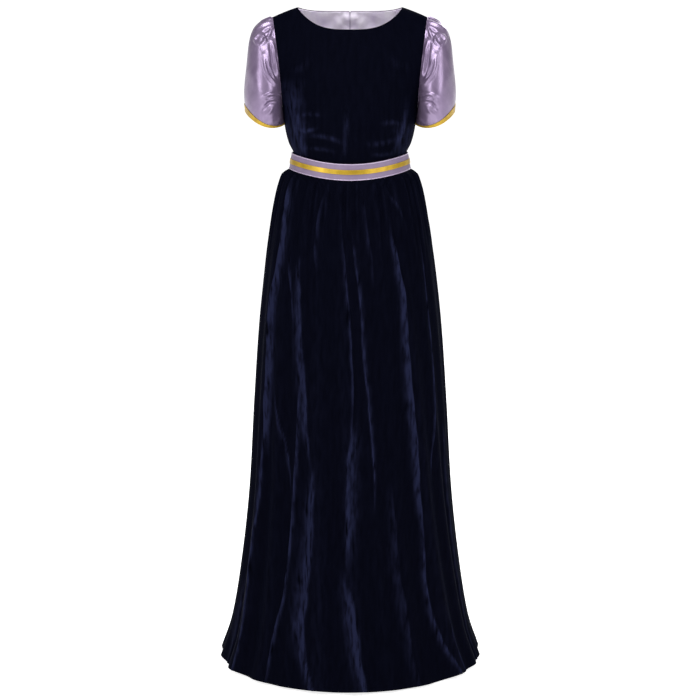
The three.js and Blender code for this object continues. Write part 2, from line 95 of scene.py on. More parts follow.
# %% [markdown]
# Four square softboxes stand round the dress, two in front, one high up and one behind. Soft light keeps
# the shadow on the floor faint and lets the satin shine in broad patches.


# %% Softboxes
def softbox(name, place, size, power):
    """A square area light that faces the middle of the dress."""
    light = bpy.data.lights.new(name, "AREA")
    light.size = size
    light.energy = power
    lamp = bpy.data.objects.new(name, light)
    lamp.location = place
    aim = MIDDLE - np.array(place)
    tilt = math.atan2(math.hypot(aim[0], aim[1]), -aim[2])
    lamp.rotation_euler = (tilt, 0, math.atan2(-aim[0], aim[1]))
    bpy.context.collection.objects.link(lamp)


# name, place, size and power
SOFTBOXES = (
    ("key_light", (-2.6, -2.4, 0.7), 2.0, 50),
    ("fill_light", (2.7, -2.3, 0.6), 2.0, 44),
    ("top_light", (0.0, -1.8, 2.1), 1.8, 80),
    ("back_light", (0.6, 2.8, 1.2), 2.2, 55),
)
for box in SOFTBOXES:
    softbox(*box)
print(len(SOFTBOXES), "softboxes")

# %% [markdown]
# The room itself gives a weak even light. The camera sees it as plain white, so the far edge of the floor
# doesn't show.

# %% The room's light
world = bpy.data.worlds.new("studio")
world.use_nodes = True
room = world.node_tree
glow = room.nodes["Background"]
glow.inputs["Color"].default_value = WHITE
glow.inputs["Strength"].default_value = 0.36
backdrop = room.nodes.new("ShaderNodeBackground")
backdrop.inputs["Color"].default_value = WHITE
seen = room.nodes.new("ShaderNodeLightPath")
either = room.nodes.new("ShaderNodeMixShader")
room.links.new(seen.outputs["Is Camera Ray"], either.inputs[0])
room.links.new(glow.outputs[0], either.inputs[1])
room.links.new(backdrop.outputs[0], either.inputs[2])
room.links.new(either.outputs[0], room.nodes["World Output"].inputs["Surface"])
bpy.context.scene.world = world
print("room light:", glow.inputs["Strength"].default_value)

# %% [markdown]
# ## The measurements
# Lengths are millimetres until a mesh is made. Levels are measured down from the shoulder line. Each
# table is a handful of measured rings or guide points, and a smooth curve through them gives every level
# between.

# %% The girths
METRES = 0.001

# level, half width, depth in front, depth behind
TOP_GIRTH = [
    (200, 147, 119, 110),
    (228, 144.2, 120, 109),
    (256, 140, 116.8, 105),
    (280, 133.5, 111.5, 100.6),
    (291, 128.2, 107.6, 97.8),
    (301, 123.8, 103.6, 94.8),
    (376, 123.8, 103.6, 94.8),
]
BAND_GIRTH = [
    (301, 127.0, 106.4, 99.4),
    (336, 132.8, 111.4, 105.4),
]
SKIRT_GIRTH = [
    (336.2, 132.4, 111, 105),
    (346, 144.5, 118.5, 113.5),
    (362, 152, 124.5, 121.5),
    (395, 161.5, 132, 131.5),
    (450, 173.0, 143.5, 147),
    (540, 187.5, 157.5, 164),
    (680, 203.5, 176, 184.5),
    (860, 217, 193.5, 204),
    (1060, 230, 210.5, 222),
    (1230, 250, 231.5, 243.5),
    (1365, 273.5, 255.5, 267.5),
    (1439, 298.5, 284, 291),
]
UNDERARM_LEVEL = 200
BAND_TOP = 301
BAND_BOTTOM = 336
TOP_HEM_LEVEL = 376
HEM_LEVEL = 1439
# the waist hangs lower at the centre front, and this dip is gone at its last level
WAIST_DIP = 15
DIP_SHARPNESS = 2.5
DIP_GONE_LEVEL = 720


def curve(rows, column):
    """A smooth curve through one column of a table, read along its first column."""
    keys = np.array([row[0] for row in rows], float)
    values = np.array([row[column] for row in rows], float)
    before = np.maximum(np.arange(len(rows)) - 1, 0)
    after = np.minimum(np.arange(len(rows)) + 1, len(rows) - 1)
    slopes = (values[after] - values[before]) / (keys[after] - keys[before])

    def at(place):
        i = np.searchsorted(keys[1:-1], place, side="left")
        span = keys[i + 1] - keys[i]
        t = (place - keys[i]) / span
        a, b = values[i], values[i + 1]
        start, end = slopes[i] * span, slopes[i + 1] * span
        return a + t * (start + t * (3 * (b - a) - 2 * start - end + t * (2 * (a - b) + start + end)))

    return at


def lerp(a, b, share):
    return a + (b - a) * share


def smoothstep(value, low, high):
    t = np.clip((value - low) / (high - low), 0, 1)
    return t * t * (3 - 2 * t)


def stack(x, y, z):
    return np.stack(np.broadcast_arrays(x, y, z), axis=-1).astype(float)


def ring_point(rows, angle, level, dip_share):
    """A point of a girth ring, at an angle from the centre front towards the wearer's left."""
    forward = np.cos(angle)
    depth = np.where(forward > 0, curve(rows, 2)(level), curve(rows, 3)(level))
    dip = WAIST_DIP * dip_share * np.maximum(forward, 0) ** DIP_SHARPNESS
    return stack(curve(rows, 1)(level) * np.sin(angle), -depth * forward, -level - dip)


print("waist over the band:", round(2 * BAND_GIRTH[0][1]), "mm wide")

# %% [markdown]
# ## From a formula to a sheet of cloth
# A panel is a grid of points over a smooth surface, moved off it wherever a fold lifts the cloth. The
# grid runs anticlockwise and upwards, so its face looks outwards, and a Solidify modifier gives it the
# cloth's thickness. The UV map is the panel's own size in metres, so a weave keeps its scale on every
# piece.


# %% Make a sheet
SMALL_STEP = 1e-3


def unit(vectors):
    return vectors / np.maximum(np.linalg.norm(vectors, axis=-1, keepdims=True), 1e-12)


def normals_of(surface, u, v, u_sign, v_sign):
    """The outward normals of a surface at a grid of places."""
    along_u = surface(u + SMALL_STEP * u_sign, v) - surface(u - SMALL_STEP * u_sign, v)
    along_v = surface(u, v + SMALL_STEP * v_sign) - surface(u, v - SMALL_STEP * v_sign)
    return unit(np.cross(unit(along_u), unit(along_v)))


def flat_map(points):
    """How far each grid point lies along its row and up its column, in metres."""
    across = np.zeros(points.shape[:2])
    up = np.zeros(points.shape[:2])
    across[:, 1:] = np.cumsum(np.linalg.norm(np.diff(points, axis=1), axis=-1), axis=1)
    up[1:, :] = np.cumsum(np.linalg.norm(np.diff(points, axis=0), axis=-1), axis=0)
    across -= across[:, -1:] / 2
    return np.stack([across, up], axis=-1) * METRES


def mesh_object(name, points, faces):
    """A mesh object from points in millimetres."""
    mesh = bpy.data.meshes.new(name)
    mesh.from_pydata((points.reshape(-1, 3) * METRES).tolist(), [], faces)
    made = bpy.data.objects.new(name, mesh)
    bpy.context.collection.objects.link(made)
    return made


def grid_object(name, points, closed=False):
    """A sheet over a grid of points, with its UV map."""
    rows, columns = points.shape[:2]
    looped = np.concatenate([points, points[:, :1]], axis=1) if closed else points
    cut = flat_map(looped)
    spans = columns if closed else columns - 1
    row, column = np.meshgrid(np.arange(rows - 1), np.arange(spans), indexing="ij")
    beside = (column + 1) % columns
    corners = [(row, column), (row, beside), (row + 1, beside), (row + 1, column)]
    faces = np.stack([r * columns + c for r, c in corners], axis=-1).reshape(-1, 4)
    made = mesh_object(name, points, faces.tolist())
    places = [(row, column), (row, column + 1), (row + 1, column + 1), (row + 1, column)]
    uvs = np.stack([cut[r, c] for r, c in places], axis=-2).reshape(-1, 2)
    made.data.uv_layers.new(name="cut").data.foreach_set("uv", uvs.ravel())
    return made


SHARP_CLOTH_EDGE = 50


def pick(piece):
    """Selects one piece alone and makes it the active one."""
    deselect()
    piece.select_set(True)
    bpy.context.view_layer.objects.active = piece


def thicken(piece, thickness):
    """Gives a sheet its wall, inwards from its face, and smooths it up to its cut edges."""
    pick(piece)
    wall = piece.modifiers.new("wall", "SOLIDIFY")
    wall.thickness = thickness * METRES
    wall.offset = -1
    bpy.ops.object.modifier_apply(modifier=wall.name)
    bpy.ops.object.shade_smooth_by_angle(angle=math.radians(SHARP_CLOTH_EDGE))


def cloth(name, surface, us, vs, thickness, lift=0.0, relief=None, painted_sheen=None, closed=False):
    """A sheet of cloth over surface(u, v), lifted off it by relief(u, v, point)."""
    u, v = np.meshgrid(us, vs)
    points = surface(u, v)
    normal = normals_of(surface, u, v, np.sign(us[1] - us[0]), np.sign(vs[1] - vs[0]))
    height = lift + (relief(u, v, points) if relief else 0.0)
    made = grid_object(name, points + normal * np.reshape(height, np.shape(height) + (1,)), closed)
    # painted sheen: a point attribute that lightens the velvet's colour on ridges, creases and side
    # patches
    if painted_sheen:
        sheen_attribute = made.data.attributes.new("painted_sheen", "FLOAT", "POINT")
        sheen_attribute.data.foreach_set("value", painted_sheen(u, v, points).ravel().astype(np.float32))
    thicken(made, thickness)
    print(name, len(made.data.polygons), "faces")
    return made


# %% [markdown]
# ## Creases placed one by one
# A crease in pressed or pulled cloth is a soft ridge with a shallow trough on each side. Each one is
# drawn here as a short curved stroke on the front view of the piece, so its place can be judged by eye,
# and it fades out towards both of its ends.


# %% A stroke
STROKE_POINTS = 84


def stroke(points, start, end, bow, width, height):
    """The lift of one crease: a ridge from start to end on the front view, bowed sideways by bow."""
    start, end = np.array(start, float), np.array(end, float)
    side = np.array([start[1] - end[1], end[0] - start[0]]) / np.linalg.norm(end - start)
    share = np.linspace(0, 1, STROKE_POINTS)[:, None]
    line = start + (end - start) * share + side * bow * np.sin(np.pi * share)
    places = points[..., [0, 2]]
    away = np.linalg.norm(places[..., None, :] - line, axis=-1)
    nearest = np.argmin(away, axis=-1)
    distance = np.min(away, axis=-1) / width
    taper = np.sin(np.pi * np.clip(share[nearest, 0], 0.02, 0.98)) ** 0.7
    return height * taper * (1 - 0.8 * distance**2) * np.exp(-(distance**2))


def strokes(points, rows, touched):
    """All creases of one side of a piece. The share touched is 1 where they stand in full."""
    return touched * sum(stroke(points, *row) for row in rows)


# %% [markdown]
# ## The velvet top
# The front is cut in one and the back in two, with a zip between. Above the underarm each half is drawn
# from the armhole inwards, and its columns stop where the neckline cuts them. Below, it follows the
# waist.

# %% The yoke
SHOULDER_TIP = np.array([166.4, 2, -9])
FRONT_ARMHOLE = np.array([151.5, -50, -118])
UNDERARM = np.array([147, 0, -200])
BACK_ARMHOLE = np.array([153, 47, -116])
SHOULDER_CROWN = 30
NECK_POINT_X = 113.4
NECK_POINT_Z = 12
FRONT_BODY = {"side": -1, "depth": 119, "roundness": 1.5, "neck_drop": 32.5, "neck_power": 3.2}
BACK_BODY = {"side": 1, "depth": 110, "roundness": 1.9, "neck_drop": -2, "neck_power": 5}
HALVINGS = 30


def around(outer, front, under, back, degrees):
    """A smooth closed loop through four points, at 0, 90, 180 and 270 degrees."""
    angle = np.radians(degrees)[..., None]
    middle = (outer + front + under + back) / 4
    oval = (outer - under) / 2 * np.cos(angle) + (front - back) / 2 * np.sin(angle)
    return middle + oval + (outer + under - front - back) / 4 * np.cos(2 * angle)


def armhole(degrees):
    return around(SHOULDER_TIP, FRONT_ARMHOLE, UNDERARM, BACK_ARMHOLE, np.asarray(degrees, float))


def spread_across(across, rise):
    """How the columns are spaced: round the body at the underarm, and evenly at the shoulder."""
    return lerp(np.sin(np.pi / 2 * across), across, smoothstep(rise, 0.25, 1))


def yoke_point(body, across, rise):
    """Across runs from -1 to 1 between the armholes, rise from the underarm to the shoulder's ridge."""
    half = 180 * (1 - rise)
    edge = armhole(half if body["side"] < 0 else 360 - half)
    height = (1 - np.cos(np.pi * rise)) / 2
    bulge = np.sqrt(np.maximum(1 - np.maximum(height, 0) ** body["roundness"], 0)) * np.sign(1 - rise)
    centre_y = body["side"] * body["depth"] * bulge + SHOULDER_TIP[1] * height
    centre_z = lerp(-UNDERARM_LEVEL, SHOULDER_CROWN, height)
    spread = spread_across(across, rise)
    round_share = 1 - np.sqrt(np.maximum(1 - spread**2, 0)) * np.sign(1 - np.abs(across))
    turned = lerp(round_share, spread**2, smoothstep(rise, 0.05, 0.6))
    settled = lerp(smoothstep(rise, 0, 0.4), 1, turned**4)
    y = centre_y * (1 - turned) + edge[..., 1] * turned * settled
    return stack(edge[..., 0] * spread, y, lerp(centre_z, edge[..., 2], spread**2))


def top_of_column(body, across):
    """How far a column rises before the neckline or the shoulder seam ends it."""
    low, high = np.zeros_like(across), np.ones_like(across)
    for _ in range(HALVINGS):
        middle = (low + high) / 2
        point = yoke_point(body, across, middle)
        share = np.abs(point[..., 0]) / NECK_POINT_X
        above = point[..., 2] > lerp(-body["neck_drop"], NECK_POINT_Z, share ** body["neck_power"])
        low, high = np.where(above, low, middle), np.where(above, middle, high)
    ridge = np.abs(yoke_point(body, across, np.ones_like(across))[..., 0])
    return np.where(ridge >= NECK_POINT_X - 1e-6, 1.0, low)


def top_point(body, across, up):
    """Up is -1 at the tucked hem, 0 at the underarm and 1 at the neckline or the shoulder."""
    across, up = np.broadcast_arrays(np.asarray(across, float), np.asarray(up, float))
    yoke = yoke_point(body, across, np.maximum(up, 0) * top_of_column(body, across))
    level = lerp(UNDERARM_LEVEL, TOP_HEM_LEVEL, -np.minimum(up, 0))
    turn = np.pi / 2 * across
    angle = turn if body["side"] < 0 else np.pi - turn
    lower = ring_point(TOP_GIRTH, angle, level, smoothstep(level, UNDERARM_LEVEL, BAND_TOP))
    return np.where((up >= 0)[..., None], yoke, lower)


def front_face(column, up):
    return top_point(FRONT_BODY, column, up)


def back_face(column, up):
    return top_point(BACK_BODY, column, up)


# %% [markdown]
# The top is pulled close over the bust and the waist. Soft drag lines run in from the side above the
# band, a dart stands on each side, and the cloth settles in a faint line down the middle.

# %% The creases of the top
VELVET = 1.6
LINING = 1.0
BACKING_DEPTH = VELVET + 0.6
# start (x, z), end (x, z), bow, half width, height
FRONT_TOP_CREASES = [
    ((-8, -185), (-15, -305), 3, 7, 1.3),
    ((124, -165), (86, -305), 9, 8, 2.0),
    ((-118, -180), (-92, -305), -8, 9, 1.8),
    ((-112, -216), (-60, -212), 4, 6, 1.7),
    ((-116, -244), (-70, -240), -4, 6, 2.0),
    ((-88, -256), (-14, -272), 6, 7, 1.9),
    ((-100, -285), (-30, -291), 4, 6, 1.5),
    ((112, -236), (68, -230), -5, 7, 1.4),
    ((106, -262), (36, -272), 5, 8, 1.3),
    ((100, -290), (46, -296), 4, 6, 1.2),
    ((-128, -120), (-86, -92), -9, 10, 1.4),
    ((130, -112), (84, -84), 9, 11, 1.3),
]
BACK_TOP_CREASES = [
    ((112, -180), (84, -305), 7, 9, 1.6),
    ((-110, -178), (-88, -305), -7, 9, 1.7),
    ((96, -232), (30, -240), 5, 8, 1.6),
    ((-100, -250), (-34, -258), -5, 7, 1.8),
    ((88, -272), (24, -280), 4, 7, 1.4),
    ((-84, -288), (-28, -292), 4, 6, 1.3),
    ((-120, -110), (-70, -84), -8, 11, 1.3),
    ((122, -98), (76, -74), 8, 11, 1.2),
]


def front_top_relief(u, up, points):
    inside = smoothstep(np.abs(up), 0.0, 0.02) * (np.abs(u) < 0.985)
    return strokes(points, FRONT_TOP_CREASES, inside)


def back_top_relief(u, up, points):
    return strokes(points, BACK_TOP_CREASES, smoothstep(np.abs(u), 0.06, 0.2))


def top_painted_sheen(u, up, points):
    """Painted sheen on the top: pale patches at its sides and along its creases."""
    x, down = points[..., 0], -points[..., 2]
    edge = 5 * np.sin(down / 23) + 2.5 * np.sin(down / 8.3 + 1)
    # painted sheen patches at the sides, where the pile would catch the light
    right_side = smoothstep(-x, 88 + edge, 108 + edge) * smoothstep(down, 130, 175)
    left_side = smoothstep(x, 92 + edge, 112 + edge) * smoothstep(down, 225, 250)
    rows = FRONT_TOP_CREASES if points[..., 1].mean() < 0 else BACK_TOP_CREASES
    folds = strokes(points, rows, 1.0) / 2.4
    low = 0.25 + 0.75 * smoothstep(down, 195, 225)
    return np.clip(0.42 * right_side + 0.32 * left_side + 0.6 * low * folds, 0, 1)


# %% Make the velvet top
def spaced(start, end, count):
    return np.linspace(start, end, count + 1)


TOP_ROWS = np.concatenate([spaced(-1, -0.57, 8), spaced(-0.57, 0, 40)[1:], spaced(0, 1, 74)[1:]])
ZIP_EDGE = 0.009
# name, the face it lies on, its columns, and its creases
TOP_PANELS = (
    ("front", front_face, spaced(-1, 1, 130), front_top_relief),
    ("back_left", back_face, spaced(1, ZIP_EDGE, 66), back_top_relief),
    ("back_right", back_face, spaced(-ZIP_EDGE, -1, 66), back_top_relief),
)
top = {}
for panel, face, columns, relief in TOP_PANELS:
    top[panel] = cloth(f"velvet_top_{panel}", face, columns, TOP_ROWS, VELVET, relief=relief, painted_sheen=top_painted_sheen)


# %% [markdown]
# The top is lined with the sleeve satin. Through the open neck only the upper back of the lining shows,
# with its seam down the middle and the small puckers that the seam draws in.

# %% The lining
def lining_relief(u, up, points):
    x = np.abs(points[..., 0])
    near_seam = np.exp(-((x / 34) ** 2)) * smoothstep(up, 0.3, 0.9)
    pull = 1 + 0.9 * np.sin(x / 9 + 34 * up) + 0.5 * np.sin(x / 5 - 41 * up + 1)
    drape = np.exp(-(((x - 58) / 22) ** 2)) * np.sin(24 * up + x / 20)
    tucked = 1 - 0.6 * smoothstep(up, 0.95, 1.0)
    return -1.0 - (3.0 * near_seam * pull + 2.6 * drape * smoothstep(up, 0.4, 0.8)) * tucked


LINING_ROWS = np.concatenate([spaced(-1, 0, 16), spaced(0, 1, 70)[1:]])
LINING_SEAM = 0.004
LINING_PANELS = (
    ("front", front_face, spaced(-1, 1, 76), None),
    ("back_left", back_face, spaced(1, LINING_SEAM, 80), lining_relief),
    ("back_right", back_face, spaced(-LINING_SEAM, -1, 80), lining_relief),
)
lining = {}
for panel, face, columns, relief in LINING_PANELS:
    lining[panel] = cloth(f"satin_lining_{panel}", face, columns, LINING_ROWS, LINING, -BACKING_DEPTH,
                          relief=relief)

# %% [markdown]
# ## The puff sleeves
# A puff sleeve is a wide tube gathered into the armhole and curved at its hem. It is drawn round four
# guide lines, and its gathers fan out from the cap. Larger folds are then laid on it one by one, front
# and back.

# %% The sleeve's guides
# share of the way from the armhole to the hem, then x, y, z
OUTER = [
    (0, 166.4, 2, -9), (0.08, 176, 2, -12), (0.2, 192, 2, -18.5), (0.34, 208, 2, -33),
    (0.5, 218, 2, -61), (0.68, 224, 2, -109), (0.86, 230, 1, -168), (1, 227.5, 0, -211),
]
FRONT = [
    (0, 151.5, -50, -118), (0.08, 156, -57, -121), (0.2, 162, -66, -127), (0.34, 169, -73, -139),
    (0.5, 175, -78, -158), (0.68, 181, -79, -186), (0.86, 184, -75, -219), (1, 184, -67, -239),
]
UNDER = [
    (0, 147, 0, -200), (0.08, 146.8, 0, -201.5), (0.2, 146.3, 0, -204), (0.34, 145.6, 0, -208),
    (0.5, 144.7, 0, -214), (0.68, 143.7, 0, -222), (0.86, 142.6, 0, -232), (1, 141.4, 0, -239),
]
BACK = [
    (0, 153, 47, -116), (0.08, 157, 54, -119), (0.2, 163, 64, -126), (0.34, 170, 72, -139),
    (0.5, 176, 77, -159), (0.68, 182, 78, -187), (0.86, 185, 74, -219), (1, 185, 66, -238),
]
SATIN = 1.0
RIBBON = 0.8
SEAM_GAP = 0.3
SLEEVE_STAND_OFF = 0.35


def guide_point(rows, along):
    """A point of one guide line, with the sleeve held a little off the armhole's edge."""
    x, y, z = (curve(rows, column)(along) for column in (1, 2, 3))
    return stack(x + SLEEVE_STAND_OFF, y, z)


def sleeve_surface(side):
    def at(degrees, along):
        loops = [guide_point(rows, along) for rows in (OUTER, FRONT, UNDER, BACK)]
        return around(*loops, degrees) * np.array([side, 1, 1])

    return at


# %% The sleeve's folds
# start (x, z), end (x, z), bow, half width, height, on the wearer's left sleeve
SLEEVE_FRONT_FOLDS = [
    ((184, -90), (150, -157), 9, 4.2, 4.2),
    ((178, -92), (153, -148), 3, 3.2, 2.2),
    ((168, -52), (153, -138), 0, 3.8, 2.6),
    ((171, -64), (157, -142), 0, 5.3, -5.0),
    ((188, -179), (147, -175), -8, 4.2, 4.6),
    ((186, -181), (150, -181), 0, 3.6, 1.6),
    ((188, -204), (156, -186), -6, 4.8, -5.0),
    ((193, -41), (193, -69), 11, 4.0, 3.4),
    ((193, -41), (193, -69), -11, 4.0, 3.4),
    ((184, -58), (168, -35), 2, 4.2, 3.4),
    ((209, -38), (171, -19), -2, 4.4, 3.0),
    ((187, -42), (171, -31), 0, 3.8, -3.2),
    ((206, -62), (180, -82), 0, 15.6, 2.5),
    ((216, -112), (192, -196), -8, 18.0, 2.2),
    ((184, -216), (164, -196), 2, 4.8, 1.6),
    ((161, -236), (150, -220), 2, 4.8, 1.9),
]
SLEEVE_BACK_FOLDS = [
    ((182, -84), (154, -150), 8, 3.3, 2.7),
    ((176, -88), (156, -144), 2, 3.0, 1.9),
    ((170, -52), (155, -134), 0, 3.3, 1.9),
    ((173, -70), (160, -138), 0, 5.8, -3.2),
    ((190, -168), (155, -172), -6, 3.3, 2.6),
    ((188, -192), (156, -178), -5, 4.8, -3.0),
    ((190, -60), (168, -34), 3, 3.6, 2.6),
    ((206, -42), (172, -19), -2, 3.8, 2.3),
    ((204, -70), (184, -92), 0, 15.6, 2.2),
    ((214, -122), (194, -194), -7, 18.0, 2.0),
    ((182, -214), (166, -198), 2, 4.8, 1.5),
]


def sleeve_relief(degrees, along, points):
    """Small gathers from the cap, and the larger folds of the side that the point is on."""
    angle = np.radians(degrees)
    on_cap = np.maximum(np.cos(angle) + 0.35, 0) / 1.35
    fade = smoothstep(along, 0, 0.05) * (1 - smoothstep(along, 0.06, 0.32))
    wander = 12 * angle + 1.1 * np.sin(3 * angle + 0.6) + 0.5 * np.sin(7 * angle)
    cap_gathers = 2.3 * on_cap * fade * np.cos(wander) + 1.1 * on_cap * fade * np.cos(2.3 * wander + 1)
    ends = smoothstep(along, 0, 0.08) * (1 - smoothstep(along, 0.86, 0.94))
    front = smoothstep(np.sin(angle), 0.0, 0.35) * ends
    behind = smoothstep(-np.sin(angle), 0.0, 0.35) * ends
    flat = np.abs(points) * np.array([1, 1, -1])
    front_folds = strokes(flat, SLEEVE_FRONT_FOLDS, front)
    return cap_gathers + front_folds + strokes(flat, SLEEVE_BACK_FOLDS, behind)


# %% Make the sleeves
SLEEVE_ROWS = spaced(1, 0, 124)
SLEEVE_COLUMNS = 256
CUFF_COLUMNS = 240
CUFF_ROWS = spaced(1, 0.945, 4)


def sleeve_angles(side, count):
    angles = spaced(0, 360, count)[:-1]
    return 360 - angles if side > 0 else angles


sleeves = {}
cuff_ribbons = {}
for wearer_side, side in (("left", 1), ("right", -1)):
    surface = sleeve_surface(side)
    columns = sleeve_angles(side, SLEEVE_COLUMNS)
    sleeves[wearer_side] = cloth(f"satin_sleeve_{wearer_side}", surface, columns, SLEEVE_ROWS, SATIN,
                                 relief=sleeve_relief, closed=True)
    columns = sleeve_angles(side, CUFF_COLUMNS)
    cuff_ribbons[wearer_side] = cloth(f"gold_cuff_{wearer_side}", surface, columns, CUFF_ROWS, RIBBON,
                                      RIBBON + SEAM_GAP, closed=True)

# %% [markdown]
# ## The waistband
# The band is folded satin with a gold ribbon sewn along it. It sits lower at the centre front. A narrow
# rolled edge finishes it above and below, as a thin tube along the band's rim; its paler colour is a
# painted highlight.


# %% The band and its ribbon
def band_surface(degrees, level):
    return ring_point(BAND_GIRTH, np.radians(degrees), level, 1)


def band_relief(degrees, level, points):
    """The folded satin is a little full between its stitched lines."""
    share = (level - BAND_TOP) / (BAND_BOTTOM - BAND_TOP)
    wave = np.sin(np.radians(degrees) * 17 + 2 * share) * np.sin(np.radians(degrees) * 7 + 1)
    return 0.5 * np.sin(np.pi * share) + 0.22 * wave


BAND_CLOTH = 1.6
RIBBON_TOP = 313.5
RIBBON_BOTTOM = 323.5
# name, first and last degree from the centre front, and how many half fronts wide it is
PANELS = (("front", -90, 90, 2), ("back_left", 90, 179.5, 1), ("back_right", 180.5, 270, 1))
band_rows = spaced(BAND_BOTTOM, BAND_TOP, 24)
ribbon_rows = spaced(RIBBON_BOTTOM, RIBBON_TOP, 8)
waistbands = {}
band_ribbons = {}
for panel, start, end, halves in PANELS:
    angles = spaced(start, end, 96 * halves)
    waistbands[panel] = cloth(f"satin_band_{panel}", band_surface, angles, band_rows, BAND_CLOTH,
                              relief=band_relief)
    band_ribbons[panel] = cloth(f"gold_stripe_{panel}", band_surface, angles, ribbon_rows, RIBBON,
                                RIBBON + SEAM_GAP, relief=band_relief)


# %% Tubes along an edge
TUBE_SIDES = 10
SHARP_TRIM_EDGE = 60


def frames_along(path, outward):
    """For each point of a path: its direction, the outward direction, and the one across both."""
    along = unit(np.gradient(path, axis=0))
    outward = unit(outward - along * np.sum(outward * along, axis=-1, keepdims=True))
    return along, outward, np.cross(along, outward)


def circles(out, flank, sides):
    """A unit circle of points at each place, from its outward direction round by its flank."""
    angle = np.linspace(0, 2 * np.pi, sides, endpoint=False)
    return out[:, None] * np.cos(angle)[None, :, None] + flank[:, None] * np.sin(angle)[None, :, None]


def settle(piece):
    """Turns a mesh's faces outwards and shades it smooth."""
    pick(piece)
    bpy.ops.object.mode_set(mode="EDIT")
    bpy.ops.mesh.select_all(action="SELECT")
    bpy.ops.mesh.normals_make_consistent(inside=False)
    bpy.ops.object.mode_set(mode="OBJECT")
    bpy.ops.object.shade_smooth_by_angle(angle=math.radians(SHARP_TRIM_EDGE))


def tube(name, path, outward, radius):
    """A round rolled edge along a path, with closed ends."""
    _, out, across = frames_along(path, outward)
    points = path[:, None] + radius * circles(out, across, TUBE_SIDES)
    rings = np.arange(len(path) * TUBE_SIDES).reshape(-1, TUBE_SIDES)
    after = np.roll(rings, -1, axis=1)
    walls = np.stack([rings[:-1], after[:-1], after[1:], rings[1:]], axis=-1).reshape(-1, 4)
    caps = [rings[0][::-1].tolist(), rings[-1].tolist()]
    made = mesh_object(name, points, walls.tolist() + caps)
    settle(made)
    return made


# %% The band's rolled edges
EDGE_RADIUS = 1.15
EDGE_INSET = 1.2
band_edges = []
for edge, level in (("top", BAND_TOP + EDGE_INSET), ("bottom", BAND_BOTTOM - EDGE_INSET)):
    for panel, start, end, halves in PANELS:
        degrees = spaced(start, end, 70 * halves)
        path = band_surface(degrees, level)
        outward = normals_of(band_surface, degrees, np.full_like(degrees, level), 1, -1)
        band_edges.append(tube(f"band_edge_{edge}_{panel}", path, outward, EDGE_RADIUS))
print(len(band_edges), "rolled edges")

# %% [markdown]
# The neck is bound the same way. Here the lining is rolled over the velvet's edge, and only a thin pale
# line of it shows.

# %% The neck edge
NECK_SHARE = NECK_POINT_X / SHOULDER_TIP[0]
NECK_ZIP_GAP = 0.012
NECK_ROLL_DEPTH = 1.9
NECK_ROLL_DROP = np.array([0, 0, 0.5])
NECK_ROLL_RADIUS = 0.8
JUST_BELOW_RIM = 0.99
UPWARDS = [0.0, 0.0, 1.0]
NECK_EDGES = (
    ("front", front_face, spaced(-NECK_SHARE, NECK_SHARE, 120)),
    ("back_left", back_face, spaced(NECK_SHARE, NECK_ZIP_GAP, 60)),
    ("back_right", back_face, spaced(-NECK_ZIP_GAP, -NECK_SHARE, 60)),
)
neck_edges = []
for name, face, columns in NECK_EDGES:
    rim = face(columns, np.ones_like(columns))
    below = np.full_like(columns, JUST_BELOW_RIM)
    outwards = normals_of(face, columns, below, np.sign(columns[1] - columns[0]), 1)
    path = rim - outwards * NECK_ROLL_DEPTH - NECK_ROLL_DROP
    neck_edges.append(tube(f"neck_edge_{name}", path, np.tile(UPWARDS, (len(path), 1)), NECK_ROLL_RADIUS))
print(len(neck_edges), "neck edges")

# %% [markdown]
# ## The skirt
# A long gathered skirt hangs from the band in folds that start small, under the gathers, and grow to the
# hem. Each fold has its own place at the waist and at the hem. Velvet breaks along its folds, so narrower
# ridges run on top of them, and each of those wanders a little as it falls.

# %% The hanging folds
# at the waist, at the hem (degrees from the centre front), half width in degrees, height at the hem
SKIRT_FOLDS = [
    (-79, -82, 6.5, 11), (-63, -61, 7, 22), (-50, -43, 6, 19), (-36, -29, 5.5, 15), (-24, -14, 6.5, 24),
    (-8, 3, 6.5, 24), (4, 18, 5.5, 15), (20, 33, 6, 14), (34, 54, 7, 23), (49, 69, 6, 17),
    (66, 83, 6.5, 12), (88, 99, 7, 14), (108, 114, 6, 16), (124, 131, 7.5, 24), (143, 147, 6, 17),
    (161, 164, 7, 22), (184, 182, 6, 15), (201, 198, 7, 23), (219, 215, 6, 16), (236, 232, 7.5, 24),
    (253, 248, 6, 17), (268, 263, 6, 12),
]
